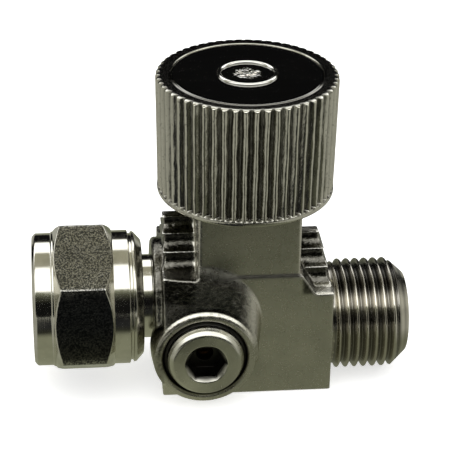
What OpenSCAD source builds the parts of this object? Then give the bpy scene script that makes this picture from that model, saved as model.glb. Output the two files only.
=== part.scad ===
// Needle valve with a ribbed handwheel, a threaded inlet end, a loose union nut
// on the outlet nipple and a burst-disc safety plug on the front.
// Millimetres. +X runs along the pipe line towards the inlet thread's free end,
// +Z is the spindle axis. The origin is the centre of the inlet thread's shoulder.

/* [Body] */
// Distance from the spindle axis to the inlet thread's shoulder
shoulder_x = 16.5; // [15:0.5:20]
// Front to back thickness of the block
block_d = 22; // [21:0.5:26]
// Depth of the block below the pipe axis
block_drop = 11; // [10.5:0.5:13]
// Height of the proud front pad above the pipe axis
pad_top = 15; // [13:0.5:17]
// Width of the flat neck
neck_w = 19.6; // [19:0.1:22]
// Front to back thickness of the neck
neck_d = 21.4; // [19:0.1:21.6]
// Height of the neck's top above the inlet axis
neck_top = 30.5; // [30:0.5:32]

/* [Inlet thread] */
// Nominal diameter of the inlet thread
thread_d = 21.8; // [20:0.1:24]
// Full-diameter length of the inlet thread
thread_len = 12.4; // [8:0.1:16]
// Length of the pointed nose after the full thread
thread_nose = 3.3; // [2:0.1:5]
// Diameter of the nose's end face
thread_nose_d = 15.8; // [12:0.1:18]

/* [Outlet] */
// Height of the outlet axis above the inlet axis
outlet_z = 5.5; // [4:0.1:7]
// Diameter of the round collar round the outlet
collar_d = 23.2; // [20:0.1:25]
// Distance from the spindle axis to the collar's face
collar_x = 18.1; // [17:0.1:20]
// Diameter of the nipple's neck
nipple_d = 16.4; // [14:0.1:17]
// Diameter of the nipple's flange
flange_d = 18.9; // [18:0.1:19.2]

/* [Union nut] */
// Size across the flats of the union nut
nut_af = 27; // [26.5:0.5:30]
// Diameter of the round skirt at the mouth of the nut
nut_front_d = 25.9; // [25:0.1:26.4]
// Diameter of the round skirt at the back of the nut
nut_rear_d = 26.2; // [25:0.1:26.4]
// Gap between the nut and the collar
nut_gap = 1.9; // [1:0.1:3]
// Length of the nut
nut_len = 21.2; // [20:0.1:24]

/* [Safety plug] */
// Distance of the boss axis to the left of the spindle axis
boss_x = 8.6; // [8.5:0.1:10]
// Diameter of the front boss
boss_d = 20; // [19:0.1:20.4]
// Distance from the spindle axis to the boss's face
boss_y = 15.5; // [15.5:0.1:18]
// Diameter of the plug's thread
plug_d = 16; // [14:0.5:16]
// How far the plug's face stands in front of the boss
plug_proud = 1.9; // [0.5:0.1:3]
// Size across the flats of the hexagon socket
socket_af = 6.35; // [5:0.05:8]

/* [Handwheel] */
// Diameter over the ribs
knob_d = 34.3; // [34:0.1:38]
// Height of the bottom edge above the inlet axis with the valve shut
knob_z = 29; // [28.5:0.5:30]
// Height of the handwheel
knob_h = 23.5; // [23:0.5:26]
// Number of ribs
ribs = 54; // [36:1:60]
// Depth of the grooves between the ribs
rib_depth = 0.85; // [0.4:0.05:1.1]
// Diameter of the disc in the top
cap_d = 28.2; // [26:0.1:28.6]

/* [Spindle] */
// Diameter of the spindle's thread
stem_thread_d = 10; // [9:0.5:10]
// Diameter of the spindle's smooth stem
stem_d = 8; // [7:0.5:8]
// Size of the square that drives the handwheel
square = 6; // [5.4:0.1:6.4]

/* [Hidden] */
$fn = 96;
thread_r = thread_d / 2;
collar_r = collar_d / 2;
nut_back = -collar_x - nut_gap;
nut_front = nut_back - nut_len;
block_half = block_d / 2;
knob_r = knob_d / 2;
knob_top = knob_z + knob_h;
inlet_end = shoulder_x + thread_len + thread_nose;
stroke = 2.5;
gap = 0.05;
nickel = [0.74, 0.73, 0.69];
nickel_dark = [0.60, 0.60, 0.57];
// height above its own port axis, half depth and reach of each rib of the shoulder wings
wing_ribs = [[11.0, 8.3, 16.5], [14.05, 5.9, 16.0], [16.8, 3.5, 15.3], [19.4, 1.2, 14.6]];

// ---------- helpers ----------
// moves the drawing position, which is on the spindle axis, to the origin at the shoulder
module place() { translate([-shoulder_x, 0, 0]) children(); }
// along_x: +Z of the child runs to +X; along_front: +Z of the child runs to -Y
module along_x(x = 0, z = 0) { translate([x, 0, z]) rotate([0, 90, 0]) children(); }
module along_front(x = 0, y = 0, z = 0) { translate([x, y, z]) rotate([90, 0, 0]) children(); }
module tube(r_in, r_out, h) {
    difference() { cylinder(r = r_out, h = h); translate([0, 0, -1]) cylinder(r = r_in, h = h + 2); }
}
// solid of revolution from a list of [height, radius]
module turned(p) {
    rotate_extrude() polygon(concat([[0, p[0][0]]], [for (q = p) [q[1], q[0]]], [[0, p[len(p) - 1][0]]]));
}
// points of an arc from a up to, but without, b, bowing to the right of the way from a to b
function bow(a, b, r, n = 6) =
    let (d = b - a, l = norm(d), m = (a + b) / 2, u = [-d[1], d[0]] / l, c = m + u * sqrt(r * r - l * l / 4),
         t0 = atan2(a[1] - c[1], a[0] - c[0]), t1 = atan2(b[1] - c[1], b[0] - c[0]),
         w = t1 - t0 > 180 ? t1 - t0 - 360 : (t1 - t0 < -180 ? t1 - t0 + 360 : t1 - t0))
    [for (i = [0:n - 1]) c + r * [cos(t0 + w * i / n), sin(t0 + w * i / n)]];
function flat_list(l) = [for (a = l) for (b = a) b];

// ---------- valve body ----------
// stepped and scalloped gusset on one side of the neck; ribs run across the body
module wing(side) {
    lift = side > 0 ? 0 : 4.3;
    grow = side > 0 ? [0, 0, 0, 0] : [0, 0.3, 0.9, 1.5];
    zy = [for (w = wing_ribs) [w[1], w[0] + lift]];
    zx = [for (i = [0:3]) [wing_ribs[i][2] + grow[i], wing_ribs[i][0] + lift]];
    half = concat(flat_list([for (i = [2:-1:0]) bow(zy[i + 1], zy[i], 2.6)]), [zy[0]]);
    side_p = concat(flat_list([for (i = [2:-1:0]) bow(zx[i + 1], zx[i], 2.4)]), [zx[0]]);
    intersection() {
        // front and back scallops
        rotate([90, 0, 90]) translate([0, 0, -20]) linear_extrude(40)
            polygon(concat([for (p = half) p], [[zy[0][0], 0], [-zy[0][0], 0]],
                [for (i = [len(half) - 1:-1:0]) [-half[i][0], half[i][1]]]));
        // outer scallops
        rotate([90, 0, 0]) translate([0, 0, -15]) linear_extrude(30)
            polygon([for (p = concat([[9, zx[3][1]]], side_p, [[zx[0][0], 0], [9, 0]])) [side * p[0], p[1]]]);
    }
}
module boss_flare() {
    // the forged root that slopes from the front pad down to the boss's rim
    hull() {
        along_front(-boss_x, -boss_y + 1) cylinder(r = boss_d / 2 + 0.3, h = 0.1);
        along_front(-9, -10.7, 6) cylinder(r = 11.5, h = 0.1);
    }
}
module valve_body() {
    color(nickel) place() difference() {
        union() {
            // block and front pad
            translate([-shoulder_x, -block_half, -block_drop]) cube([2 * shoulder_x, block_d, block_drop + 11]);
            translate([-shoulder_x, -block_half, 10]) cube([10, block_d, 5.3]);
            rotate([90, 0, 0]) translate([0, 0, -block_half]) linear_extrude(block_d)
                polygon([[-12.5, 10], [12.9, 10], [12.9, 11], [10.3, pad_top], [-12.5, pad_top]]);
            // neck, with its corners turned down to clear the handwheel's skirt
            intersection() {
                translate([-neck_w / 2, -neck_d / 2, 10]) cube([neck_w, neck_d, neck_top - 10]);
                cylinder(r = 14.3, h = neck_top + 1);
            }
            wing(1);
            wing(-1);
            // outlet collar
            along_x(-collar_x, outlet_z) turned([[0, collar_r - 0.5], [0.5, collar_r], [4, collar_r]]);
            // front boss
            along_front(-boss_x) turned([[9, boss_d / 2 + 0.3], [block_half, boss_d / 2 + 0.3],
                [boss_y - 1, boss_d / 2], [boss_y - 0.35, boss_d / 2 - 0.3], [boss_y, boss_d / 2 - 0.9]]);
            intersection() {
                boss_flare();
                union() {
                    translate([-shoulder_x, -20, -2]) cube([22, 20, pad_top + 2.3]);
                    translate([-neck_w / 2, -20, -2]) cube([neck_w / 2 + 5.5, 20, pad_top + 5]);
                }
            }
            // inlet end, at the thread's outside diameter
            along_x(shoulder_x - 2) turned([[0, thread_r], [2 + thread_len, thread_r],
                [2 + thread_len + thread_nose, thread_nose_d / 2]]);
        }
        // bonnet bore, packing chamber, spindle thread, needle chamber, seat pocket, drilling
        translate([0, 0, 25.8]) cylinder(r = 8, h = 10);
        translate([0, 0, 20.5]) cylinder(r = 6.5, h = 6);
        translate([0, 0, 9.8]) cylinder(r = stem_thread_d / 2 + gap, h = 12);
        translate([0, 0, 4.2]) cylinder(r = 4.2, h = 6);
        translate([0, 0, 2.4]) cylinder(r = 3.6, h = 2);
        translate([0, 0, -0.5]) cylinder(r = 1.5, h = 3);
        // inlet passage with the filter's counterbore
        along_x(-9.9) cylinder(r = 2, h = 50);
        along_x(inlet_end - 3) cylinder(r = 4.5, h = 5);
        // outlet passage and nipple thread
        along_x(-12, outlet_z) cylinder(r = 1.3, h = 10);
        along_x(-collar_x - 1, outlet_z) cylinder(r = 6.5, h = collar_x - 11.5 + 1);
        // safety port: plug thread and pressure drilling
        along_front(-boss_x, -9.2) cylinder(r = plug_d / 2, h = 10);
        along_front(-boss_x, 0) cylinder(r = 1, h = 10);
        along_front(-boss_x, -boss_y + 0.6) cylinder(r1 = plug_d / 2 - 0.02, r2 = plug_d / 2 + 0.6, h = 0.62);
    }
}

// ---------- seat, needle, spindle ----------
module seat_insert() {
    color([0.78, 0.76, 0.62]) place() translate([0, 0, 2.4]) tube(1.1, 3.57, 1.8);
}
module needle() {
    color([0.75, 0.75, 0.77]) place() turned([[2.45, 0.15], [6.0, 1.93], [12.0, 1.93], [12.0, 2.6], [13.4, 2.6], [13.8, 2.2]]);
}
module needle_clip() {
    // split ring in the spindle's foot, under the needle's head
    color([0.45, 0.46, 0.48]) place() difference() {
        translate([0, 0, 10.7]) tube(2.0, 3.15, 1.0);
        translate([0, -0.5, 10]) cube([5, 1, 3]);
    }
}
module spindle() {
    color([0.80, 0.78, 0.66]) place() difference() {
        union() {
            turned([[10.2, stem_thread_d / 2 - 0.5], [10.7, stem_thread_d / 2], [17.2, stem_thread_d / 2],
                [17.7, stem_d / 2], [37.6, stem_d / 2]]);
            translate([-square / 2, -square / 2, 37]) cube([square, square, 8.6]);
        }
        // socket for the needle's head, groove for its clip, hole for the handwheel screw
        translate([0, 0, 10]) cylinder(r = 2.7, h = 4.2);
        translate([0, 0, 10.7]) cylinder(r = 3.2, h = 1.0);
        translate([0, 0, 38]) cylinder(r = 2.05, h = 9);
    }
}
module packing_seat_washer() {
    color([0.80, 0.70, 0.40]) place() translate([0, 0, 20.5]) tube(stem_d / 2 + gap, 6.45, 0.8);
}
module packing() {
    // three stacked PTFE rings
    color([0.93, 0.93, 0.90]) place() for (i = [0:2]) translate([0, 0, 21.3 + 1.07 * i]) tube(stem_d / 2 + 0.03, 6.45, 1.06);
}
module gland_washer() {
    color([0.80, 0.70, 0.40]) place() translate([0, 0, 24.5]) tube(stem_d / 2 + gap, 6.45, 0.8);
}
module gland_nut() {
    color(nickel_dark) place() difference() {
        union() {
            turned([[25.3, 6.4], [26.0, 6.4], [26.0, 7.95], [30.5, 7.95]]);
            intersection() {
                translate([0, 0, 30.5]) cylinder(r = 17 / sqrt(3), h = 4.5, $fn = 6);
                turned([[30.5, 10.4], [33.9, 10.4], [35.0, 8.5]]);
            }
        }
        translate([0, 0, 25]) cylinder(r = stem_d / 2 + gap, h = 12);
        translate([0, 0, 28]) cylinder(r = 5.75, h = 1.9);
    }
}
module spindle_oring() {
    color([0.08, 0.08, 0.09]) place() translate([0, 0, 28.95]) rotate_extrude() translate([4.88, 0]) circle(r = 0.84);
}

// ---------- handwheel ----------
module rib_outline() {
    polygon([for (i = [0:ribs - 1]) for (q = [[0, knob_r - rib_depth], [0.3, knob_r], [0.7, knob_r]])
        let (a = 360 / ribs * (i + q[0])) q[1] * [cos(a), sin(a)]]);
}
module handwheel() {
    color(nickel_dark) place() difference() {
        union() {
            // ribs stop at the rounded shoulder
            translate([0, 0, knob_z + 1]) linear_extrude(knob_h - 1.7) rib_outline();
            turned([[knob_z + 5, knob_r - rib_depth - 0.05], [knob_top - 0.7, knob_r - rib_depth - 0.05],
                [knob_top - 0.2, knob_r - 1.1], [knob_top, knob_r - 1.5]]);
            // plain band round the bottom edge
            translate([0, 0, knob_z]) cylinder(r = knob_r - 0.35, h = 1.1);
        }
        // skirt's hollow, round the hub
        difference() {
            translate([0, 0, knob_z - 1]) cylinder(r = 15, h = 19);
            translate([0, 0, 37.8]) cylinder(r = 7.5, h = 12);
        }
        translate([-square / 2 - gap, -square / 2 - gap, 30]) cube([square + 2 * gap, square + 2 * gap, 20]);
        // pocket for the screw's head and seat for the disc
        translate([0, 0, 46]) cylinder(r = 5.5, h = 10);
        translate([0, 0, knob_top - 1.8]) cylinder(r = cap_d / 2 + gap, h = 5);
    }
}
module handwheel_washer() {
    color([0.5, 0.5, 0.52]) place() translate([0, 0, 46]) tube(2.1, 4.6, 0.8);
}
module handwheel_screw() {
    color([0.55, 0.56, 0.58]) place() difference() {
        turned([[39, 1.6], [39.4, 2], [46.8, 2], [46.8, 4], [48.9, 4], [49.6, 3.2]]);
        translate([0, 0, 47.4]) cylinder(r = 3 / sqrt(3), h = 4, $fn = 6);
    }
}
module handwheel_cap() {
    color([0.12, 0.12, 0.12]) place() translate([0, 0, knob_top - 1.8]) turned([[0, cap_d / 2], [1.5, cap_d / 2], [1.8, cap_d / 2 - 0.3]]);
}
module cap_ring() {
    color([0.65, 0.65, 0.62]) place() translate([0, 0, knob_top]) tube(4.9, 5.7, 0.3);
}

// ---------- outlet ----------
module nipple() {
    color(nickel) place() difference() {
        along_x(0, outlet_z) turned([[-30, 8.6], [-29.2, flange_d / 2], [-26.6, flange_d / 2], [-26.6, nipple_d / 2],
            [-collar_x, nipple_d / 2], [-collar_x, 6.45], [-12.7, 6.45]]);
        along_x(-31, outlet_z) cylinder(r = 2.2, h = 20);
        // recess that centres the sealing washer
        along_x(-30.5, outlet_z) cylinder(r = 7.55, h = 0.9);
    }
}
module nipple_gasket() {
    color([0.85, 0.85, 0.82]) place() along_x(-12.7, outlet_z) tube(2.2, 6.4, 1.2);
}
module nose_washer() {
    color([0.92, 0.92, 0.90]) place() along_x(-30.9, outlet_z) tube(2.6, 7.5, 1.3);
}
module nut_retaining_ring() {
    // split ring in the nut's groove, behind the nipple's flange
    color([0.55, 0.56, 0.58]) place() difference() {
        along_x(-26.55, outlet_z) tube(8.7, 10.5, 1.4);
        translate([-28, -1, outlet_z]) cube([4, 2, 12]);
    }
}
module union_nut() {
    color(nickel) place() translate([0, 0, outlet_z]) difference() {
        union() {
            // hexagon with 30 degree chamfers at both ends
            intersection() {
                along_x(nut_front + 4.1) rotate([0, 0, 54.8]) cylinder(r = nut_af / sqrt(3), h = 11.4, $fn = 6);
                along_x(nut_front + 4.1) turned([[0, 13.2], [1.6, 15.9], [9.6, 15.9], [11.4, 13.2]]);
            }
            along_x(0) turned([[nut_front, nut_front_d / 2 - 0.6], [nut_front + 0.5, nut_front_d / 2], [nut_front + 6, nut_front_d / 2]]);
            along_x(0) turned([[nut_front + 14, nut_rear_d / 2], [nut_back - 2.6, nut_rear_d / 2], [nut_back - 2.5, 12.5],
                [nut_back - 2.0, 12.5], [nut_back - 1.9, 12.8], [nut_back - 1.5, 12.7], [nut_back, 11.1]]);
        }
        // bore that runs over the nipple's flange, groove for the retaining ring, internal thread
        along_x(nut_front - 1) cylinder(r = flange_d / 2 + gap, h = nut_len + 2);
        along_x(-26.6) cylinder(r = 10.6, h = 1.5);
        along_x(nut_front - 1) cylinder(r = thread_r, h = 11);
        along_x(nut_front - 0.01) cylinder(r1 = thread_r + 0.8, r2 = thread_r, h = 0.8);
    }
}

// ---------- safety port ----------
module relief_plug() {
    color(nickel) place() difference() {
        along_front(-boss_x) turned([[10.8, 7.5], [11.3, plug_d / 2 - gap], [boss_y - 0.8, plug_d / 2 - gap],
            [boss_y - 0.2, 7.3], [boss_y + 0.5, 7.25], [boss_y + 1.1, 7.05], [boss_y + plug_proud - 0.3, 6.6], [boss_y + plug_proud, 6.3]]);
        along_front(-boss_x, -13.1) cylinder(r = socket_af / sqrt(3), h = 10, $fn = 6);
        along_front(-boss_x, -10) cylinder(r = 1.6, h = 5);
        along_front(-boss_x, -boss_y - plug_proud + 0.7) cylinder(r1 = 3.2, r2 = 4.1, h = 0.72);
    }
}
module disc_holder() {
    color([0.80, 0.70, 0.40]) place() along_front(-boss_x, -9.9) tube(2, 7.6, 0.9);
}
module burst_disc() {
    color([0.78, 0.55, 0.35]) place() along_front(-boss_x, -9.7) cylinder(r = 6.5, h = 0.2);
}
module disc_gasket() {
    color([0.90, 0.90, 0.86]) place() along_front(-boss_x, -9.2) tube(1.6, 6.5, 0.5);
}

// ---------- inlet filter ----------
module filter_disc() {
    color([0.72, 0.58, 0.38]) place() along_x(inlet_end - 3) cylinder(r = 4.45, h = 1.8);
}
module filter_ring() {
    color([0.55, 0.56, 0.58]) place() along_x(inlet_end - 1.2) tube(3.2, 4.46, 1.0);
}

valve_body();
seat_insert();
needle();
needle_clip();
spindle();
packing_seat_washer();
packing();
gland_washer();
gland_nut();
spindle_oring();
handwheel();
handwheel_washer();
handwheel_screw();
handwheel_cap();
cap_ring();
nipple();
nipple_gasket();
nut_retaining_ring();
union_nut();
nose_washer();
relief_plug();
disc_holder();
burst_disc();
disc_gasket();
filter_disc();
filter_ring();
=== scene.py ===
import math

import bmesh
import bpy
import numpy as np
from mathutils import Matrix, Vector


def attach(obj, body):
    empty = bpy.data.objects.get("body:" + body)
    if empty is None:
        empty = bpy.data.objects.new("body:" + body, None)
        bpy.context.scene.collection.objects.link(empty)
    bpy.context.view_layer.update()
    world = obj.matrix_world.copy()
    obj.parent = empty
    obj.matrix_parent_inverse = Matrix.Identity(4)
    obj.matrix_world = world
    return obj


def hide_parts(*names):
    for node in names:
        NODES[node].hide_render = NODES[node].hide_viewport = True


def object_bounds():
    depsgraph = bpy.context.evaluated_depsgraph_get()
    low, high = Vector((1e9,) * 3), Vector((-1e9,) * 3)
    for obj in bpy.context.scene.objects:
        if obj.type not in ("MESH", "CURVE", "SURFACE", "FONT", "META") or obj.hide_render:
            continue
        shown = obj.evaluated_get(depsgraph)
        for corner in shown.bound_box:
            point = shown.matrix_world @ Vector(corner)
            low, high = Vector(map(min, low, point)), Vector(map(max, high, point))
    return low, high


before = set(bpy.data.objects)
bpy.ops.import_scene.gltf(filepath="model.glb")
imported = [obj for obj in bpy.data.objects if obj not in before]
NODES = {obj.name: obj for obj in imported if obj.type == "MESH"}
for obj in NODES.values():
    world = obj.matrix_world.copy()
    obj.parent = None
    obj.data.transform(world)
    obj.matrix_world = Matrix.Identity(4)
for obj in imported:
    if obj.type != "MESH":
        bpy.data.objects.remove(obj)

CAD_LO, CAD_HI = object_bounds()
SHOULDER = 16.5  # the drawing's x of the row origin, in mm
OUTLET_Z = 5.5
BOSS_X = -8.6
PITCH = 25.4 / 14


# ------------------------------------------------------------------ camera
def camera():
    a, e, roll = math.radians(-5.77), math.radians(28.2), math.radians(0.93)
    d = Vector((math.sin(a) * math.cos(e), -math.cos(a) * math.cos(e), math.sin(e)))
    r = Vector((math.cos(a), math.sin(a), 0))
    u = d.cross(r)
    r2 = math.cos(roll) * r + math.sin(roll) * u
    u2 = -math.sin(roll) * r + math.cos(roll) * u
    pos = (-3.43 * r2 + 18.14 * u2 + 350 * d - Vector((SHOULDER, 0, 0))) * 0.001
    data = bpy.data.cameras.new("camera")
    data.sensor_width, data.lens = 36, 140.4
    data.clip_start, data.clip_end = 0.01, 60
    cam = bpy.data.objects.new("camera", data)
    bpy.context.scene.collection.objects.link(cam)
    m = Matrix((r2, u2, d)).transposed().to_4x4()
    m.translation = pos
    cam.matrix_world = m
    bpy.context.scene.camera = cam


# ------------------------------------------------------------------ node helpers
class Shader:
    def __init__(self, name):
        self.mat = bpy.data.materials.new(name)
        self.mat.use_nodes = True
        self.nt = self.mat.node_tree
        self.bsdf = self.nt.nodes["Principled BSDF"]
        self.coord = self.nt.nodes.new("ShaderNodeTexCoord").outputs["Object"]

    def node(self, kind, **props):
        n = self.nt.nodes.new(kind)
        for k, v in props.items():
            setattr(n, k, v)
        return n

    def put(self, socket, value):
        if hasattr(value, "is_linked") or isinstance(value, bpy.types.NodeSocket):
            self.nt.links.new(value, socket)
        else:
            socket.default_value = value

    def mapped(self, scale, rotation=(0, 0, 0), location=(0, 0, 0)):
        """Object coordinates times scale, which is in cycles per millimetre."""
        n = self.node("ShaderNodeMapping")
        n.inputs["Scale"].default_value = [1000 * s for s in scale]
        n.inputs["Rotation"].default_value = rotation
        n.inputs["Location"].default_value = location
        self.nt.links.new(self.coord, n.inputs["Vector"])
        return n.outputs[0]

    def noise(self, vector, scale=1.0, detail=2.0, rough=0.5, distortion=0.0):
        n = self.node("ShaderNodeTexNoise")
        self.nt.links.new(vector, n.inputs["Vector"])
        n.inputs["Scale"].default_value = scale
        n.inputs["Detail"].default_value = detail
        n.inputs["Roughness"].default_value = rough
        n.inputs["Distortion"].default_value = distortion
        return n.outputs["Fac"]

    def voronoi(self, vector, scale=1.0):
        n = self.node("ShaderNodeTexVoronoi")
        self.nt.links.new(vector, n.inputs["Vector"])
        n.inputs["Scale"].default_value = scale
        return n.outputs["Distance"]

    def ramp(self, fac, stops):
        n = self.node("ShaderNodeValToRGB")
        els = n.color_ramp.elements
        while len(els) < len(stops):
            els.new(0.5)
        for el, (p, c) in zip(els, stops):
            el.position = p
            el.color = (c, c, c, 1) if isinstance(c, (int, float)) else (*c, 1)
        self.nt.links.new(fac, n.inputs["Fac"])
        return n.outputs["Color"]

    def span(self, value, a, b, c, d):
        n = self.node("ShaderNodeMapRange")
        self.nt.links.new(value, n.inputs["Value"])
        for k, v in zip(("From Min", "From Max", "To Min", "To Max"), (a, b, c, d)):
            n.inputs[k].default_value = v
        return n.outputs["Result"]

    def math(self, op, a, b=None, c=None):
        n = self.node("ShaderNodeMath", operation=op)
        for i, v in enumerate((a, b, c)):
            if v is not None:
                self.put(n.inputs[i], v)
        return n.outputs[0]

    def mix(self, fac, a, b):
        n = self.node("ShaderNodeMix", data_type="RGBA")
        self.put(n.inputs["Factor"], fac)
        self.put(n.inputs["A"], a if not isinstance(a, tuple) else (*a, 1)[:4])
        self.put(n.inputs["B"], b if not isinstance(b, tuple) else (*b, 1)[:4])
        return n.outputs["Result"]

    def attribute(self, name):
        return self.node("ShaderNodeAttribute", attribute_name=name).outputs["Fac"]

    def bump(self, height, mm, normal=None, strength=1.0):
        n = self.node("ShaderNodeBump")
        n.inputs["Distance"].default_value = mm * 0.001
        self.put(n.inputs["Strength"], strength)
        self.nt.links.new(height, n.inputs["Height"])
        if normal is not None:
            self.nt.links.new(normal, n.inputs["Normal"])
        return n.outputs["Normal"]

    def finish(self, color, rough, normal=None, metallic=1.0, **own):
        b = self.bsdf.inputs
        self.put(b["Base Color"], color if not isinstance(color, tuple) else (*color, 1)[:4])
        self.put(b["Roughness"], rough)
        b["Metallic"].default_value = metallic
        if normal is not None:
            self.nt.links.new(normal, b["Normal"])
        for k, v in own.items():
            b[k.replace("_", " ")].default_value = v
        return self.mat


def tint(c, k):
    return tuple(min(1.0, x * k) for x in c)


NICKEL = (0.64, 0.625, 0.545)


def body_material():
    """Satin nickel over a forging: polished faces, bright speckled flanks, painted shade on the flanks, in the recesses
    and in the gaps, edges brightened partly by wear and partly by a painted highlight.
    """
    s = Shader("body_nickel")
    cast, gap, painted_darkening = s.attribute("cast"), s.attribute("gap"), s.attribute("painted_darkening")
    c1 = s.mapped((1, 1, 1))
    wide = s.noise(c1, 0.11, 3, 0.6)
    peel = s.noise(c1, 0.75, 3, 0.55)
    grit = s.noise(c1, 1.25, 3, 0.6)
    fine = s.noise(c1, 6.0, 2, 0.6)
    brush = s.noise(s.mapped((0.25, 0.25, 7.0)), 1.0, 2, 0.6)
    # cloudy plating at random; painted shade makes the flanks, collar and recesses darker and browner, and the edges
    # are brightened partly by wear, partly by a painted highlight
    tone = s.ramp(wide, [(0.30, tint(NICKEL, 0.84)), (0.5, tint(NICKEL, 0.96)), (0.72, (0.66, 0.635, 0.56))])
    point = s.node("ShaderNodeNewGeometry").outputs["Pointiness"]
    edge = s.span(point, 0.517, 0.57, 0.0, 1.0)
    recess_shade = s.span(point, 0.475, 0.41, 0.0, 1.0)
    # painted shade and dark reflection over the flanks, the collar, the root above the boss and a patch on the neck
    tone = s.mix(s.math("MULTIPLY", painted_darkening, s.span(peel, 0.3, 0.7, 0.93, 0.76)), tone, (0.034, 0.032, 0.025))
    # edges brightened partly by wear, partly by a painted highlight along the ridges
    tone = s.mix(s.math("MULTIPLY", edge, s.span(cast, 0.0, 1.0, 0.35, 0.9)), tone, (0.90, 0.885, 0.82))
    # painted shade in the recesses, where the pointiness is low
    tone = s.mix(s.math("MULTIPLY", recess_shade, 0.85), tone, (0.10, 0.095, 0.078))
    # small dark pits in the plating
    pit = s.ramp(s.voronoi(c1, 0.42), [(0.0, 1.0), (0.055, 1.0), (0.10, 0.0), (1.0, 0.0)])
    tone = s.mix(s.math("MULTIPLY", pit, 0.35), tone, (0.25, 0.24, 0.2))
    # dross left in the flanks' hollows
    dross = s.span(grit, 0.48, 0.38, 0.0, 0.6)
    tone = s.mix(s.math("MULTIPLY", cast, dross), tone, (0.07, 0.067, 0.055))
    # painted shade in the gaps, the bores and along the step
    tone = s.mix(gap, tone, (0.018, 0.017, 0.014))
    rough = s.math("SUBTRACT", s.span(peel, 0.3, 0.7, 0.24, 0.33), s.math("MULTIPLY", cast, 0.13))
    rough = s.math("ADD", rough, s.math("MULTIPLY", gap, 0.25))
    n = s.bump(peel, 0.030)
    n = s.bump(brush, 0.004, n)
    n = s.bump(fine, 0.003, n)
    n = s.bump(grit, 0.11, n, cast)
    return s.finish(tone, rough, n)


def turned_material(name, base, axis, lines=0.006, rough=(0.10, 0.2), wobble=0.01, grain=None, dark=0.82, painted_shade=False):
    """Nickel on a turned surface: fine tool lines round the axis, light handling marks."""
    s = Shader(name)
    along = {"x": (5.0, 0.02, 0.02), "y": (0.02, 5.0, 0.02), "z": (0.02, 0.02, 5.0)}[axis]
    c1 = s.mapped((1, 1, 1))
    rings = s.noise(s.mapped(along), 1.0, 3, 0.65)
    cloud = s.noise(c1, 0.16, 3, 0.6)
    soft = s.noise(c1, 0.5, 2, 0.5)
    tone = s.ramp(cloud, [(0.3, tint(base, dark)), (0.55, base), (0.8, tint(base, 1.05))])
    scratch = s.noise(s.mapped((0.5, 4.0, 0.5), (0.4, 0.3, 0.9)), 1.0, 4, 0.7)
    r = s.math("ADD", s.span(soft, 0.3, 0.7, *rough), s.span(scratch, 0.62, 0.75, 0.0, 0.10))
    n = s.bump(rings, lines)
    n = s.bump(soft, wobble, n)
    # painted shade from a per-point attribute: darker in thread roots, on a thread's top side and in a socket
    if painted_shade:
        g = s.attribute("painted_shade")
        tone = s.mix(s.math("MULTIPLY", g, 0.96), tone, (0.022, 0.021, 0.018))
        r = s.math("ADD", r, s.math("MULTIPLY", g, 0.15))
    if grain:
        flat, dull = s.attribute("flat"), s.attribute("dull")
        sand = s.noise(c1, grain[0], 2, 0.6)
        coarse = s.noise(c1, grain[0] * 0.33, 2, 0.6)
        r = s.math("ADD", r, s.math("MULTIPLY", flat, 0.06))
        worn = s.math("MULTIPLY", dull, s.span(sand, 0.60, 0.42, 0.45, 0.97))
        tone = s.mix(worn, tone, (0.055, 0.056, 0.052))
        n = s.bump(sand, grain[1], n, flat)
        n = s.bump(coarse, grain[1] * 0.8, n, flat)
    return s.finish(tone, r, n)


def knob_material():
    """Bright nickel on a cast, ribbed wheel: wavy reflections, painted shade in the grooves, a painted dark reflection
    on the top rim.
    """
    s = Shader("handwheel_nickel")
    c1 = s.mapped((1, 1, 1))
    wave = s.noise(s.mapped((0.9, 0.9, 0.30)), 1.0, 3, 0.6)
    drip = s.noise(s.mapped((2.2, 2.2, 0.5)), 1.0, 3, 0.6)
    small = s.noise(c1, 1.6, 3, 0.6)
    tone = s.ramp(s.noise(c1, 0.2, 3, 0.6), [(0.3, tint(NICKEL, 0.86)), (0.7, tint(NICKEL, 1.06))])
    groove, rim = s.attribute("groove"), s.attribute("rim")
    # painted shade in the grooves, left out in runs where the plating stays bright, even down in some of the grooves
    runs = s.span(drip, 0.36, 0.62, 0.0, 1.0)
    deep = s.math("MULTIPLY", groove, s.span(drip, 0.35, 0.65, 0.98, 0.75))
    tone = s.mix(deep, tone, (0.035, 0.034, 0.028))
    tone = s.mix(s.math("MULTIPLY", s.span(small, 0.56, 0.66, 0.0, 0.55), s.math("SUBTRACT", 1.0, runs)), tone, (0.10, 0.097, 0.08))
    # painted dark reflection on the top rim
    tone = s.mix(s.math("MULTIPLY", rim, 0.85), tone, (0.16, 0.155, 0.145))
    calm = s.math("SUBTRACT", 1.0, rim)
    rough = s.math("ADD", s.span(small, 0.3, 0.7, 0.08, 0.16), s.math("MULTIPLY", groove, 0.10))
    n = s.bump(wave, 0.06, None, calm)
    n = s.bump(drip, 0.035, n, calm)
    n = s.bump(small, 0.010, n, calm)
    return s.finish(tone, rough, n)


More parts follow.
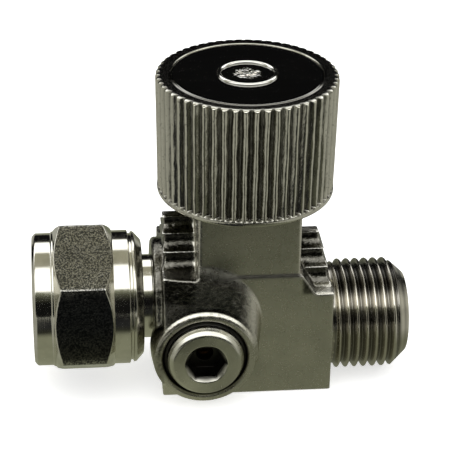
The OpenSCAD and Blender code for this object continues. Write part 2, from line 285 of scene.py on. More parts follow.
def mirror_material():
    s = Shader("mirror_disc")
    c1 = s.mapped((1, 1, 1))
    wave = s.noise(c1, 0.10, 2, 0.5)
    smear = s.noise(s.mapped((0.08, 0.5, 0.2), (0, 0, 0.5)), 1.0, 4, 0.65)
    tone = s.ramp(smear, [(0.3, (0.34, 0.34, 0.325)), (0.7, (0.42, 0.415, 0.39))])
    n = s.bump(wave, 0.02)
    # dented middle of the dish
    sep = s.node("ShaderNodeSeparateXYZ")
    s.nt.links.new(c1, sep.inputs[0])
    dx, dy = s.math("ADD", sep.outputs["X"], SHOULDER), sep.outputs["Y"]
    r = s.math("SQRT", s.math("ADD", s.math("MULTIPLY", dx, dx), s.math("MULTIPLY", dy, dy)))
    middle = s.span(r, 3.0, 1.2, 0.0, 1.0)
    n = s.bump(s.noise(c1, 0.62, 2, 0.5), 1.3, n, middle)
    # painted highlight specks in the dented middle
    tone = s.mix(s.math("MULTIPLY", middle, s.span(s.noise(c1, 0.9, 2, 0.5), 0.45, 0.60, 0.0, 1.0)), tone, (0.70, 0.67, 0.60))
    return s.finish(tone, s.span(smear, 0.4, 0.75, 0.03, 0.08), n)


def plain_metal(name, base, rough, axis="z", lines=0.006, spot=None):
    """Unplated metal of the inner pieces: tool lines, tarnish."""
    s = Shader(name)
    c1 = s.mapped((1, 1, 1))
    along = {"x": (6.0, 0.05, 0.05), "y": (0.05, 6.0, 0.05), "z": (0.05, 0.05, 6.0)}[axis]
    rings = s.noise(s.mapped(along), 1.0, 3, 0.6)
    cloud = s.noise(c1, 0.35, 4, 0.6)
    tone = s.ramp(cloud, [(0.3, tint(base, 0.72)), (0.55, base), (0.8, tint(base, 1.08))])
    n = s.bump(rings, lines)
    if spot:
        cells = s.voronoi(c1, spot[0])
        tone = s.mix(s.span(cells, 0.25, 0.6, 0.0, 0.75), tone, tint(base, 0.25))
        n = s.bump(cells, -spot[1], n)
    return s.finish(tone, s.span(cloud, 0.3, 0.7, rough - 0.06, rough + 0.08), n)


def soft_material(name, base, rough, grain, mm, **own):
    s = Shader(name)
    c1 = s.mapped((1, 1, 1))
    g = s.noise(c1, grain, 3, 0.6)
    tone = s.ramp(s.noise(c1, 0.3, 3, 0.6), [(0.3, tint(base, 0.9)), (0.7, base)])
    return s.finish(tone, s.span(g, 0.3, 0.7, rough - 0.07, rough + 0.07), s.bump(g, mm), 0.0, **own)


# ------------------------------------------------------------------ mesh helpers, all in drawing millimetres
def to_row(p):
    p = np.asarray(p, float).copy()
    p[:, 0] -= SHOULDER
    return p * 0.001


def around(h, r, th, axis, centre):
    """Points at height h along an axis, radius r and angle th."""
    c, s = r * np.cos(th), r * np.sin(th)
    if axis == "z":
        p = np.stack([c, s, h], -1)
    elif axis == "x":
        p = np.stack([h, c, s], -1)
    else:  # towards -Y
        p = np.stack([c, -h, s], -1)
    return p + np.array(centre, float)


def rounded(points, seg=4):
    """Closed outline of (h, r, radius): each corner with a radius becomes a short curve held by its own edge loops."""
    out, n = [], len(points)
    for i in range(n):
        p = np.array(points[i][:2], float)
        rad = points[i][2] if len(points[i]) > 2 else 0
        if rad <= 0:
            out.append(p)
            continue
        a, b = np.array(points[i - 1][:2], float) - p, np.array(points[(i + 1) % n][:2], float) - p
        la, lb = max(np.linalg.norm(a), 1e-9), max(np.linalg.norm(b), 1e-9)
        t = min(rad, 0.42 * la, 0.42 * lb)
        a, b = a / la, b / lb
        out.append(p + a * t * 1.15)
        for k in range(seg + 1):
            w = k / seg
            out.append(p + a * t * (1 - w) ** 2 + b * t * w ** 2)
        out.append(p + b * t * 1.15)
    return np.array(out)


def build(name, verts, faces, smooth=True, weld=1e-7, attrs=None):
    me = bpy.data.meshes.new(name)
    me.from_pydata([tuple(v) for v in verts], [], [tuple(int(i) for i in f) for f in faces])
    if attrs:
        for k, v in attrs.items():
            me.attributes.new(k, "FLOAT", "POINT").data.foreach_set("value", np.asarray(v, np.float32))
    bm = bmesh.new()
    bm.from_mesh(me)
    bmesh.ops.remove_doubles(bm, verts=bm.verts, dist=weld)
    bmesh.ops.dissolve_degenerate(bm, edges=bm.edges, dist=weld)
    bmesh.ops.recalc_face_normals(bm, faces=bm.faces)
    bm.to_mesh(me)
    bm.free()
    me.shade_smooth() if smooth else None
    ob = bpy.data.objects.new(name, me)
    bpy.context.scene.collection.objects.link(ob)
    return ob


def ring_grid(rows, n):
    """Quads between closed rows of a grid that has rows x n points, wrapping round the axis."""
    i = np.arange(rows - 1)[:, None] * n
    j = np.arange(n)[None, :]
    k = (j + 1) % n
    return np.stack([i + j, i + k, i + n + k, i + n + j], -1).reshape(-1, 4)


def theta_solid(name, prof, th, axis, centre, closed=True, attr=None):
    """Solid round an axis whose outline may change with the angle: prof(angle) gives (h, r) points, always as many."""
    cols = [np.asarray(prof(t)) for t in th]
    k, n = len(cols[0]), len(th)
    hr = np.stack(cols, 1)  # k, n, 2
    pts = around(hr[..., 0], hr[..., 1], np.array(th)[None, :], axis, centre)
    rows = k + (1 if closed else 0)
    faces = ring_grid(rows, n) % (k * n)
    attrs = {a: np.repeat(f(hr, np.array(th)), 1).ravel() for a, f in (attr or {}).items()}
    return build(name, to_row(pts.reshape(-1, 3)), faces, attrs=attrs)


def helix_rows(th, x0, x1, radius, pitch=PITCH, steps=16, hand=1):
    """Grid of a thread's surface between x0 and x1: radius(x, phase) is its radius, phase 0 at the middle of a root. Rows follow the helix."""
    n = len(th)
    dp = pitch / steps
    count = int(math.ceil((x1 - x0 + pitch) / dp)) + 1
    t = x0 - pitch + dp * np.arange(count)
    rise = hand * pitch * np.array(th) / (2 * math.pi)
    base = t[:, None] + (rise if hand > 0 else rise + pitch)[None, :]
    x = np.clip(base, x0, x1)
    phase = ((x - rise[None, :]) / pitch) % 1.0
    r = radius(x, phase)
    faces = []
    idx = np.arange(count * n).reshape(count, n)
    a = idx[:-1, :-1]
    faces.append(np.stack([a, idx[:-1, 1:], idx[1:, 1:], idx[1:, :-1]], -1).reshape(-1, 4))
    # the seam: one full turn on, the rows are a pitch further
    if hand > 0:
        m = count - 1 - steps
        faces.append(np.stack([idx[0:m, -1], idx[steps:m + steps, 0], idx[steps + 1:m + steps + 1, 0], idx[1:m + 1, -1]], -1))
    return x, r, np.concatenate(faces), idx


def thread_profile(phase):
    """Whitworth form from 0 at the root to 1 at the crest, both rounded."""
    tri = 1 - np.abs(2 * phase - 1)  # 0 at the root, 1 at the crest
    v = (tri - 1 / 6) / (4 / 6)
    k = 0.16
    lo = 0.5 * (v + np.sqrt(v * v + k * k))
    w = 1 - lo
    hi = 1 - 0.5 * (w + np.sqrt(w * w + k * k))
    base0 = 1 - 0.5 * (1 - 0.5 * (-0.25 + math.sqrt(0.0625 + k * k)) + math.sqrt((1 - 0.5 * (-0.25 + math.sqrt(0.0625 + k * k))) ** 2 + k * k))
    lo1 = 0.5 * (1.25 + math.sqrt(1.5625 + k * k))
    top1 = 1 - 0.5 * ((1 - lo1) + math.sqrt((1 - lo1) ** 2 + k * k))
    return np.clip((hi - base0) / (top1 - base0), 0, 1)


def smoothstep(a, b, x):
    t = np.clip((x - a) / (b - a), 0, 1)
    return t * t * (3 - 2 * t)


# ------------------------------------------------------------------ pieces
def valve_body():
    src = NODES["valve_body"]
    me = src.data.copy()
    bm = bmesh.new()
    bm.from_mesh(me)
    bmesh.ops.remove_doubles(bm, verts=bm.verts, dist=2e-6)
    cut = bmesh.ops.bisect_plane(bm, geom=bm.verts[:] + bm.edges[:] + bm.faces[:], dist=1e-9,
                                 plane_co=(0.00022, 0, 0), plane_no=(1, 0, 0), clear_outer=True)
    rim = [g for g in cut["geom_cut"] if isinstance(g, bmesh.types.BMEdge)]
    bmesh.ops.triangle_fill(bm, use_beauty=True, use_dissolve=False, edges=rim)
    bmesh.ops.recalc_face_normals(bm, faces=bm.faces)
    bm.to_mesh(me)
    bm.free()
    ob = bpy.data.objects.new("forged_body", me)
    bpy.context.scene.collection.objects.link(ob)
    for a in list(me.attributes):
        if a.name.startswith("custom"):
            me.attributes.remove(a)
    m = ob.modifiers.new("r", "REMESH")
    m.mode, m.voxel_size, m.adaptivity, m.use_smooth_shade = "VOXEL", 0.00024, 0.0, True
    m = ob.modifiers.new("s", "SMOOTH")
    m.factor, m.iterations = 0.5, 5
    dg = bpy.context.evaluated_depsgraph_get()
    new = bpy.data.meshes.new_from_object(ob.evaluated_get(dg))
    ob.modifiers.clear()
    ob.data = new
    new.shade_smooth()
    co = np.zeros(len(new.vertices) * 3)
    new.vertices.foreach_get("co", co)
    p = co.reshape(-1, 3) * 1000 + np.array([SHOULDER, 0, 0])
    x, y, z = p.T
    side = smoothstep(9.9, 10.8, np.abs(x))
    wing = side * smoothstep(10.6, 11.6, z) * (1 - smoothstep(25, 26, z))
    rho = np.hypot(y, z - OUTLET_Z)
    collar = smoothstep(-16.2, -16.9, x) * smoothstep(8.2, 9.2, rho)
    rb = np.hypot(x - BOSS_X, z)
    boss = smoothstep(-11.3, -12.1, y) * smoothstep(9.0, 9.6, rb) * (0.25 + 0.75 * smoothstep(-3, 4, z))
    cast = np.clip(np.maximum.reduce([wing, 0.8 * collar, 0.5 * boss]), 0.02, 1)
    new.attributes.new("cast", "FLOAT", "POINT").data.foreach_set("value", cast.astype(np.float32))
    # painted shade and dark reflection: darker over the flanks, the collar, the forged root above the boss and a patch
    # on the neck
    root = smoothstep(-10.8, -11.6, y) * smoothstep(-15.3, -14.9, y) * smoothstep(9.75, 10.2, rb) * smoothstep(-2, 7, z)
    root = root * smoothstep(3.2, -2.5, x) * (0.62 + 0.38 * smoothstep(-15.5, -11, x))
    # a painted dark reflection of the boss on the neck's front
    boss_reflection_patch = smoothstep(-10, -10.5, y) * np.exp(-((x + 5.5) / 3.2) ** 2 - ((z - 17.5) / 3.0) ** 2)
    painted_darkening = np.clip(np.maximum.reduce([wing, 0.55 * collar, 0.8 * root, 0.55 * boss_reflection_patch]), 0, 1)
    new.attributes.new("painted_darkening", "FLOAT", "POINT").data.foreach_set("value", painted_darkening.astype(np.float32))
    # painted shade in the gaps: round the plug's thread, inside the bores, along the step between pad and neck
    plug = smoothstep(8.3, 8.1, rb) * smoothstep(-9.0, -9.6, y)
    bore = (rho < 7.6) & (x > -18.0) & (x < -11)
    deep = ((np.hypot(x, y) < 8.3) & (z > 4)) | bore
    step = smoothstep(0.45, 0.15, np.abs(z - 15.15)) * smoothstep(-10.4, -10.7, y) * smoothstep(-8, -2, x) * smoothstep(12.5, 11, x)
    gap = np.clip(np.maximum.reduce([plug, 0.7 * deep, 0.8 * step]), 0, 1)
    new.attributes.new("gap", "FLOAT", "POINT").data.foreach_set("value", gap.astype(np.float32))
    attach(ob, "body")
    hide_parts("valve_body")
    return ob


def inlet_spigot():
    """The threaded end: undercut at the shoulder, helical thread, thread running out on the nose's cone, bores."""
    n = 144
    th = [2 * math.pi * i / n for i in range(n)]
    x0, x1 = 17.2, 32.1
    root, crest = 9.80, 10.88

    def radius(x, phase):
        r = root + (crest - root) * thread_profile(phase)
        cone = 10.95 + (x - 28.9) * (7.9 - 10.9) / 3.3
        r = np.minimum(r, cone)
        run = smoothstep(17.25, 18.3, x)
        return 10.0 * (1 - run) + r * run

    x, r, faces, idx = helix_rows(th, x0, x1, radius)
    pts = around(x, r, np.broadcast_to(np.array(th)[None, :], x.shape), "x", (0, 0, 0)).reshape(-1, 3)
    outer = len(pts)
    rest = rounded([(32.2, 7.9, 0), (32.2, 4.5, 0.25), (29.2, 4.5, 0.1), (29.2, 2.0, 0.1), (15.0, 2.0, 0), (15.0, 9.9, 0)])
    r1 = 10.95 + (32.1 - 28.9) * (7.9 - 10.9) / 3.3
    loop = np.array([(x1, r1), (32.17, r1 - 0.1)] + [(32.2, 7.75)] + [tuple(q) for q in rest[1:]] + [(16.7, 10.0), (x0, 10.0)])
    k = len(loop)
    T = np.array(th)
    extra = around(np.repeat(loop[:, :1], n, 1), np.repeat(loop[:, 1:], n, 1), np.broadcast_to(T[None, :], (k, n)), "x", (0, 0, 0)).reshape(-1, 3)
    allp = np.concatenate([pts, extra])
    allf = np.concatenate([faces, ring_grid(k, n) + outer])
    # painted shade: darker in the roots of the thread and along its top side
    rise = PITCH * T / (2 * math.pi)
    root_dark = (1 - thread_profile(((x - rise[None, :]) / PITCH) % 1.0)) ** 1.1
    top_dark = smoothstep(0.70, 0.90, np.sin(T))[None, :]
    thread_shade = np.clip(0.66 * root_dark + 0.50 * top_dark, 0, 1) * smoothstep(32.0, 31.0, x)
    ob = build("inlet_spigot", to_row(allp), allf, weld=2e-7, attrs={"painted_shade": np.concatenate([thread_shade.ravel(), np.zeros(len(extra))])})
    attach(ob, "body")
    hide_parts("valve_body")
    return ob


def hex_radius(th, apothem, turn, p=90):
    s = 0.0
    for i in range(6):
        c = math.cos(th - math.radians(turn + 60 * i))
        if c > 0:
            s += c ** p
    return apothem / s ** (1 / p)


def union_nut():
    # hexagon corners at elevations 95.2, 35.2 and -24.8 degrees seen from the front
    # angle th is measured from +Y towards +Z, so an elevation e in front is th = 180 - e
    corner = 180 - 95.2
    th = []
    for i in range(6):
        c = corner + 60 * i
        th += [c + q for q in (-1.6, -1.1, -0.7, -0.35, 0, 0.35, 0.7, 1.1, 1.6)]
        th += list(np.linspace(c + 3.2, c + 56.8, 20))
    th = sorted(math.radians(t % 360) for t in th)
    n = len(th)
    x0, x1 = -40.41, -31.35
    minor, major = 9.78, 10.92

    def radius(x, phase):
        r = minor + (major - minor) * thread_profile(phase)
        lead = 10.9 + (-40.35 - x) * 1.0
        out = smoothstep(-32.4, -31.5, x)
        r = r * (1 - out) + major * out
        return np.maximum(r, np.where(x < -39.4, 10.9 - (x + 40.4) * 1.1, 0))

    gx, gr, faces, idx = helix_rows(th, x0, x1, radius)
    T = np.array(th)
    inner = around(gx, gr, np.broadcast_to(T[None, :], gx.shape), "x", (0, 0, OUTLET_Z)).reshape(-1, 3)

    def prof(t):
        rh = hex_radius(t, 13.5, corner + 30)
        fx = -37.1 + (rh - 13.22) / 2.7 * 1.6
        bx = -25.7 - (rh - 13.22) / 2.7 * 2.0
        pts = [(x0, 10.9, 0), (-41.2, 11.7, 0.12), (-41.2, 12.3, 0.12), (-40.6, 12.95, 0.2), (-37.6, 12.95, 0.12), (-37.4, 13.2, 0.1), (-37.1, 13.22, 0.05),
               (fx, rh, 0.22), (bx, rh, 0.22), (-25.7, 13.22, 0.05), (-25.68, 13.1, 0.05), (-22.65, 13.1, 0.16), (-22.5, 12.45, 0.1),
               (-22.05, 12.45, 0.1), (-21.95, 12.85, 0.12), (-21.45, 12.75, 0.16), (-20.0, 11.15, 0.22), (-20.0, 9.5, 0.25), (-25.1, 9.5, 0.08),
               (-25.1, 10.6, 0.08), (-26.6, 10.6, 0.08), (-26.6, 9.5, 0.08), (-31.2, 9.5, 0.15), (-31.2, 10.92, 0), (x1, 10.92, 0)]
        return rounded(pts)[:]

    hr = np.stack([prof(t) for t in th], 1)
    k = hr.shape[0]
    outer = around(hr[..., 0], hr[..., 1], np.broadcast_to(T[None, :], (k, n)), "x", (0, 0, OUTLET_Z)).reshape(-1, 3)
    flat = ((hr[..., 1] > 13.3) & (hr[..., 0] > -37.1) & (hr[..., 0] < -25.7)).astype(float).ravel()
    rh = np.array([hex_radius(t, 13.5, corner + 30) for t in th])
    flat = flat.reshape(k, n) * (hr[..., 1] >= rh[None, :] - 0.02)
    dull = flat.ravel()
    # the flats that lay upwards while the grain was blasted on
    flat = (flat * (0.12 + 0.88 * smoothstep(0.42, 0.58, np.sin(T)))[None, :]).ravel()
    none = np.zeros(len(inner))
    allp = np.concatenate([inner, outer])
    allf = np.concatenate([faces, ring_grid(k, n) + len(inner)])
    ob = build("union_nut_turned", to_row(allp), allf, weld=2e-7, attrs={"flat": np.concatenate([none, flat]), "dull": np.concatenate([none, dull])})
    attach(ob, "union_nut")
    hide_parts("union_nut")
    return ob


RIBS = 54


def rib_wave(th, z=40.0):
    """1 on top of a rib, 0 in the bottom of a groove; the cast ribs wander a little."""
    th = np.asarray(th)
    wander = 0.022 * np.sin(17 * th + 0.45 * z) + 0.016 * np.sin(31 * th - 0.9 * z + 1) + 0.014 * np.sin(43 * th + 1.6 * z + 2)
    ph = (th * RIBS / (2 * math.pi) + wander) % 1.0
    c = 0.5 - 0.5 * np.cos(2 * math.pi * ph)
    return np.clip(c, 0, 1) ** 0.8


def handwheel():
    n = RIBS * 12
    th = [2 * math.pi * i / n for i in range(n)]
    zs = np.concatenate([[30.02, 30.08, 30.14, 30.2, 30.26, 30.34, 30.6], np.linspace(31.4, 50.8, 16), np.linspace(51.3, 52.46, 14)])
    full = [16.80 + 0.33 * (z - 30) / 20 for z in zs]

    def crest(z):
        q = min(1.0, max(0.0, z - 51.85) / 0.62)
        return 16.52 + 0.65 * math.sqrt(max(0.0, 1 - q * q))

    cr = [crest(z) for z in zs]
    rng = np.random.RandomState(7)
    deeper = 1 + 0.16 * (rng.rand(RIBS) - 0.5)

    def prof(t):
        pts = [(29.15, 16.45), (29.02, 16.57), (29.0, 16.65), (29.05, 16.76), (29.15, 16.82), (29.3, 16.87), (29.8, 16.88), (29.98, 16.84)]
        d = 0.85 * float(np.interp(t * RIBS / (2 * math.pi), np.arange(RIBS + 1), np.append(deeper, deeper[0])))
        for z, f, c in zip(zs, full, cr):
            g = float(rib_wave(t, z))
            r = f - d * (1 - g) * float(smoothstep(30.0, 30.3, z)) + 0.02 * math.sin(23 * t + 0.7 * z) * math.sin(0.45 * z + 9 * t)
            # the turned shoulder cuts the ribs off
            k = 0.04
            r = 0.5 * (r + c - math.sqrt((r - c) ** 2 + k * k))
            pts.append((z, min(r, 17.14)))
        pts += [(52.49, 16.2), (52.5, 15.9), (52.5, 14.75), (52.5, 14.60), (52.55, 14.55), (52.62, 14.46), (52.62, 14.36), (52.54, 14.27), (52.45, 14.23),
                (52.3, 14.2), (50.8, 14.2), (50.7, 14.1), (50.7, 5.6), (50.6, 5.5), (46.1, 5.5), (46.0, 5.4)]
        ct = max(abs(math.cos(t)), abs(math.sin(t)))
        sq = min(3.05 / ct, 4.2)
        pts += [(46.0, sq + 0.12), (45.9, sq), (37.95, sq), (37.8, sq + 0.15), (37.8, 7.3), (38.0, 7.5), (46.6, 7.5), (47.0, 7.9), (47.0, 14.5), (46.5, 15.0),
                (29.2, 15.0), (29.0, 15.2), (29.0, 16.3)]
        return np.array(pts)

    # painted shade in the bottoms of the grooves between the ribs
    def groove(hr, tt):
        z = hr[..., 0]
        outer = (hr[..., 1] > 15.7) & (z > 29.9)
        deep = np.stack([(1 - rib_wave(tt, z[i, 0])) ** (1.9 if z[i, 0] > 30.5 else 0.7) for i in range(z.shape[0])])
        return outer * deep * (1 - smoothstep(51.9, 52.45, z))

    # painted dark reflection on the turned top rim
    def rim(hr, tt):
        return (hr[..., 0] > 52.3) * smoothstep(16.75, 16.5, hr[..., 1]) * (hr[..., 1] > 14.3)

    ob = theta_solid("handwheel_ribbed", prof, th, "z", (0, 0, 0), attr={"groove": groove, "rim": rim})
    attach(ob, "handwheel")
    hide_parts("handwheel")
    return ob


def turned_piece(name, outline, axis, centre, body, node, n=128, seg=4):
    th = [2 * math.pi * i / n for i in range(n)]
    loop = rounded(outline, seg)
    ob = theta_solid(name, lambda t: loop, th, axis, centre)
    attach(ob, body)
    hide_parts(node)
    return ob


def handwheel_cap():
    """Mirror disc with a shallow dished middle inside the raised ring."""
    dish = [(52.46 - 0.05 * math.cos(math.pi / 2 * q / 4.6) ** 2, q) for q in (4.6, 3.9, 3.2, 2.4, 1.6, 0.8, 0.0)]
    outline = [(50.72, 0.0, 0), (50.72, 14.08, 0.08), (52.45, 14.08, 0.12), (52.47, 5.0, 0)] + [(h, r, 0) for h, r in dish]
    return turned_piece("cap_disc", outline, "z", (0, 0, 0), "handwheel", "handwheel_cap", 160)


def cap_ring():
    outline = [(52.4, 4.9, 0), (52.62, 4.88, 0), (52.78, 5.02, 0), (52.84, 5.2, 0), (52.84, 5.4, 0), (52.78, 5.58, 0), (52.62, 5.72, 0), (52.4, 5.72, 0)]
    return turned_piece("cap_bead", outline, "z", (0, 0, 0), "handwheel", "cap_ring", 128)


def relief_plug():
    n = 144
    th = [2 * math.pi * i / n for i in range(n)]

    def prof(t):
        # hexagon with two corners level, left and right
        rh = hex_radius(t, 3.175, 30, 70)
        pts = [(10.8, 7.4, 0.2), (11.3, 7.93, 0.15), (14.7, 7.93, 0.12), (15.02, 7.35, 0.12), (15.9, 7.32, 0.1), (16.15, 7.18, 0.15), (16.55, 7.0, 0.1),
               (17.12, 6.62, 0.2), (17.4, 6.25, 0.22), (17.4, 4.15, 0.16), (16.7, max(rh, 3.2) + 0.12, 0.12), (16.5, rh, 0.08), (13.1, rh, 0.12), (13.1, 1.65, 0.06), (10.8, 1.6, 0.06)]
        return rounded(pts)

    def painted_shade(hr, tt):
        """Painted shade in the socket and on the thread."""
        socket = (hr[..., 1] < 4.1) * smoothstep(17.38, 17.0, hr[..., 0])
        thread = (hr[..., 1] > 7.0) * smoothstep(15.6, 15.2, hr[..., 0])
        return np.maximum(socket, thread)

    ob = theta_solid("plug_with_socket", prof, th, "y", (BOSS_X, 0, 0), attr={"painted_shade": painted_shade})
    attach(ob, "body")
    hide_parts("relief_plug")
    return ob


def nipple():
    outline = [(-30.0, 8.6, 0.2), (-29.2, 9.45, 0.25), (-26.6, 9.45, 0.2), (-26.6, 8.2, 0.25), (-18.1, 8.2, 0.12), (-18.1, 6.45, 0.1), (-12.75, 6.45, 0.4),
               (-12.7, 2.2, 0.2), (-29.6, 2.2, 0.2), (-29.6, 7.55, 0.1), (-30.0, 7.55, 0.1)]
    return turned_piece("nipple_turned", outline, "x", (0, 0, OUTLET_Z), "body", "nipple", 128)


# ------------------------------------------------------------------ studio
def emissive(name, build_color):
    m = bpy.data.materials.new(name)
    m.use_nodes = True
    nt = m.node_tree
    nt.nodes.clear()
    out = nt.nodes.new("ShaderNodeOutputMaterial")
    em = nt.nodes.new("ShaderNodeEmission")
    nt.links.new(em.outputs[0], out.inputs["Surface"])
    build_color(nt, em)
    m.cycles.emission_sampling = "NONE"
    return m


def only_reflected(ob):
    ob.visible_camera = ob.visible_diffuse = ob.visible_shadow = ob.visible_transmission = False
    ob.visible_volume_scatter = False
    ob.visible_glossy = True


def stops_ramp(nt, fac, stops, interp="LINEAR"):
    n = nt.nodes.new("ShaderNodeValToRGB")
    n.color_ramp.interpolation = interp
    els = n.color_ramp.elements
    while len(els) < len(stops):
        els.new(0.5)
    for el, (p, c) in zip(els, stops):
        el.position = p
        el.color = (c, c, c, 1) if isinstance(c, (int, float)) else (*c, 1)
    nt.links.new(fac, n.inputs["Fac"])
    return n.outputs["Color"]


OLIVE = (0.93, 0.96, 0.69)


def ol(v):
    return tuple(v * c for c in OLIVE)


def sky(nt, em):
    """Two long soft boxes overhead, dark wall behind and in front, grey-green between."""
    tc = nt.nodes.new("ShaderNodeTexCoord").outputs["Object"]
    sep = nt.nodes.new("ShaderNodeSeparateXYZ")
    nt.links.new(tc, sep.inputs[0])
    neg = nt.nodes.new("ShaderNodeMath")
    neg.operation = "MULTIPLY"
    nt.links.new(sep.outputs["Y"], neg.inputs[0])
    neg.inputs[1].default_value = -1
    at = nt.nodes.new("ShaderNodeMath")
    at.operation = "ARCTAN2"
    nt.links.new(sep.outputs["Z"], at.inputs[0])
    nt.links.new(neg.outputs[0], at.inputs[1])
    fr = nt.nodes.new("ShaderNodeMath")
    fr.operation = "DIVIDE"
    nt.links.new(at.outputs[0], fr.inputs[0])
    fr.inputs[1].default_value = math.pi
    d = 1 / 180
    band = stops_ramp(nt, fr.outputs[0], [
        (0 * d, 0.003), (24 * d, 0.003), (33 * d, ol(0.03)), (42 * d, ol(0.12)), (45 * d, 0.80), (84 * d, 0.85), (88 * d, (0.17, 0.165, 0.13)),
        (116 * d, (0.15, 0.145, 0.11)), (119 * d, 0.80), (143 * d, 0.85), (147 * d, ol(0.02)), (152 * d, 0.003), (180 * d, 0.003)])
    # the ends of the room, left and right
    ab = nt.nodes.new("ShaderNodeMath")
    ab.operation = "ABSOLUTE"
    nt.links.new(sep.outputs["X"], ab.inputs[0])
    end = nt.nodes.new("ShaderNodeMapRange")
    nt.links.new(ab.outputs[0], end.inputs["Value"])
    end.inputs["From Min"].default_value, end.inputs["From Max"].default_value = 1.15, 1.45
    mix = nt.nodes.new("ShaderNodeMix")
    mix.data_type = "RGBA"
    nt.links.new(end.outputs["Result"], mix.inputs["Factor"])
    nt.links.new(band, mix.inputs["A"])
    mix.inputs["B"].default_value = (0.22, 0.22, 0.195, 1)
    nt.links.new(mix.outputs["Result"], em.inputs["Color"])
    em.inputs["Strength"].default_value = 2.6


def table_top(nt, em):
    """What the metal sees of the table: pale close by, darker towards the camera, black in front of the nut."""
    tc = nt.nodes.new("ShaderNodeTexCoord").outputs["Object"]
    sep = nt.nodes.new("ShaderNodeSeparateXYZ")
    nt.links.new(tc, sep.inputs[0])
    near = nt.nodes.new("ShaderNodeMapRange")
    nt.links.new(sep.outputs["Y"], near.inputs["Value"])
    near.inputs["From Min"].default_value, near.inputs["From Max"].default_value = 0.0, -0.20
    a = stops_ramp(nt, near.outputs["Result"], [
        (0.0, ol(0.21)), (0.2, ol(0.20)), (0.30, ol(0.145)), (0.42, ol(0.11)), (0.55, ol(0.095)), (0.75, ol(0.045)), (1.0, ol(0.004))])
    b = stops_ramp(nt, near.outputs["Result"], [
        (0.0, ol(0.32)), (0.16, ol(0.28)), (0.21, ol(0.035)), (0.3, (0.022, 0.023, 0.024)), (1.0, (0.012, 0.012, 0.013))])
    left = nt.nodes.new("ShaderNodeMapRange")
    nt.links.new(sep.outputs["X"], left.inputs["Value"])
    left.inputs["From Min"].default_value, left.inputs["From Max"].default_value = -0.0205, -0.030
    mix = nt.nodes.new("ShaderNodeMix")
    mix.data_type = "RGBA"
    nt.links.new(left.outputs["Result"], mix.inputs["Factor"])
    nt.links.new(a, mix.inputs["A"])
    nt.links.new(b, mix.inputs["B"])
    # pale strips far out at both sides, which the flanks of the ribs see
    far = nt.nodes.new("ShaderNodeMath")
    far.operation = "ADD"
    nt.links.new(sep.outputs["X"], far.inputs[0])
    far.inputs[1].default_value = 0.0165
    out = nt.nodes.new("ShaderNodeMath")
    out.operation = "ABSOLUTE"
    nt.links.new(far.outputs[0], out.inputs[0])
    side = nt.nodes.new("ShaderNodeMapRange")
    nt.links.new(out.outputs[0], side.inputs["Value"])
    side.inputs["From Min"].default_value, side.inputs["From Max"].default_value = 0.042, 0.058
    last = nt.nodes.new("ShaderNodeMix")
    last.data_type = "RGBA"
    nt.links.new(side.outputs["Result"], last.inputs["Factor"])
    nt.links.new(mix.outputs["Result"], last.inputs["A"])
    last.inputs["B"].default_value = (0.42, 0.42, 0.37, 1)
    nt.links.new(last.outputs["Result"], em.inputs["Color"])
    em.inputs["Strength"].default_value = 1.0


def studio():
    z = CAD_LO.z
    bpy.ops.mesh.primitive_circle_add(vertices=96, radius=9, fill_type="NGON", location=(-0.02, 0, z - 0.00002))
    floor = bpy.context.object
    floor.name = "floor"
    s = Shader("floor_white")
    grain = s.noise(s.mapped((0.05, 0.05, 0.05)), 1.0, 2, 0.5)
    floor.data.materials.append(s.finish(s.ramp(grain, [(0.3, (0.86, 0.86, 0.85)), (0.7, (0.88, 0.88, 0.87))]), 0.9, metallic=0.0,
                                          Emission_Color=(1, 1, 1, 1), Emission_Strength=0.60))
    floor.visible_glossy = False

    bpy.ops.mesh.primitive_circle_add(vertices=64, radius=1.49, fill_type="NGON", location=(0, 0, z - 0.0001))
    card = bpy.context.object
    card.name = "table_card"
    card.data.materials.append(emissive("table_card", table_top))
    only_reflected(card)

    bpy.ops.mesh.primitive_uv_sphere_add(segments=96, ring_count=48, radius=1.5, location=(0, 0, z))
    dome = bpy.context.object
    dome.name = "room_card"
    dome.data.shade_smooth()
    dome.data.materials.append(emissive("room_card", sky))
    only_reflected(dome)

    w = bpy.data.worlds.new("studio")
    bpy.context.scene.world = w
    w.use_nodes = True
    bg = w.node_tree.nodes["Background"]
    bg.inputs["Color"].default_value = (1.0, 1.0, 1.0, 1)
    bg.inputs["Strength"].default_value = 0.95

    def area(name, pos, size, watts):
        d = bpy.data.lights.new(name, "AREA")
        d.shape, d.size, d.energy = "SQUARE", size, watts
        o = bpy.data.objects.new(name, d)
        bpy.context.scene.collection.objects.link(o)
        o.location = pos
        o.rotation_euler = (Vector((-0.02, 0, 0.02)) - Vector(pos)).to_track_quat("-Z", "Y").to_euler()
        o.visible_glossy = False
        return o

    area("soft_box_top", (-0.15, -0.1, 0.9), 0.7, 1.6)
    area("soft_box_back", (0.25, 0.7, 0.55), 0.5, 0.8)
    sc = bpy.context.scene
    sc.view_settings.view_transform = "Standard"
    sc.view_settings.look = "None"


# ------------------------------------------------------------------ assembly
camera()

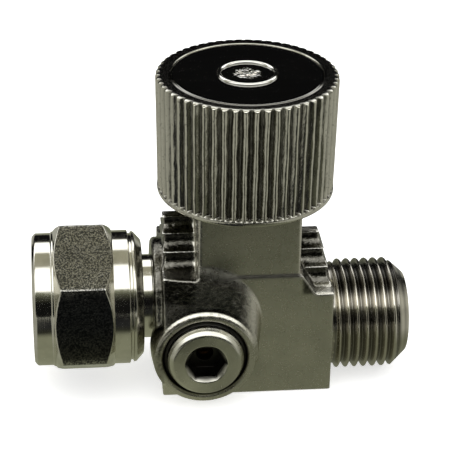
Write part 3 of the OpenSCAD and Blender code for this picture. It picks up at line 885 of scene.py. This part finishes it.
M_BODY = body_material()
M_THREAD = turned_material("inlet_thread_nickel", (0.66, 0.63, 0.55), "x", 0.004, (0.08, 0.15), 0.03, painted_shade=True)
M_KNOB = knob_material()
M_NUT = turned_material("nut_nickel", (0.66, 0.645, 0.57), "x", 0.010, (0.08, 0.16), 0.006, grain=(3.0, 0.045))
M_TURNED = turned_material("turned_nickel", (0.66, 0.645, 0.57), "x", 0.008, (0.08, 0.16), 0.006)
M_TURNED_Z = turned_material("gland_nickel", (0.60, 0.59, 0.52), "z", 0.008, (0.12, 0.22), 0.008)
M_PLUG = turned_material("plug_nickel", (0.64, 0.63, 0.55), "y", 0.008, (0.18, 0.28), 0.01, painted_shade=True)
M_MIRROR = mirror_material()
M_RING = turned_material("ring_chrome", (0.74, 0.735, 0.69), "z", 0.003, (0.05, 0.1), 0.004)
M_BRASS = plain_metal("bare_brass", (0.78, 0.58, 0.28), 0.24)
M_BRASS_X = plain_metal("bare_brass_cross", (0.78, 0.58, 0.28), 0.24, "y")
M_SEAT = plain_metal("seat_brass", (0.72, 0.58, 0.34), 0.18)
M_STEEL = plain_metal("steel", (0.62, 0.62, 0.63), 0.2)
M_SPRING = plain_metal("spring_steel", (0.36, 0.36, 0.38), 0.32)
M_COPPER = plain_metal("disc_copper", (0.34, 0.21, 0.15), 0.30, "y")
M_BRONZE = plain_metal("sintered_bronze", (0.62, 0.42, 0.22), 0.5, "x", 0.001, spot=(3.2, 0.12))
M_PTFE = soft_material("ptfe", (0.86, 0.86, 0.83), 0.45, 2.0, 0.012, Subsurface_Weight=0.1)
M_RUBBER = soft_material("black_rubber", (0.022, 0.022, 0.022), 0.55, 3.0, 0.01)

CARRIED = {
    "seat_insert": M_SEAT, "needle": M_STEEL, "needle_clip": M_SPRING, "spindle": M_BRASS, "packing_seat_washer": M_BRASS, "packing": M_PTFE,
    "gland_washer": M_BRASS, "gland_nut": M_TURNED_Z, "spindle_oring": M_RUBBER, "handwheel_washer": M_SPRING, "handwheel_screw": M_STEEL,
    "nipple_gasket": M_PTFE, "nut_retaining_ring": M_SPRING, "nose_washer": M_PTFE, "disc_holder": M_BRASS_X, "burst_disc": M_COPPER,
    "disc_gasket": M_PTFE, "filter_disc": M_BRONZE, "filter_ring": M_STEEL,
}
for name, material in CARRIED.items():
    mesh = NODES[name].data
    mesh.materials.clear()
    mesh.materials.append(material)

for piece, material in (
    (valve_body(), M_BODY), (inlet_spigot(), M_THREAD), (union_nut(), M_NUT), (handwheel(), M_KNOB), (handwheel_cap(), M_MIRROR),
    (cap_ring(), M_RING), (relief_plug(), M_PLUG), (nipple(), M_TURNED),
):
    piece.data.materials.clear()
    piece.data.materials.append(material)

studio()
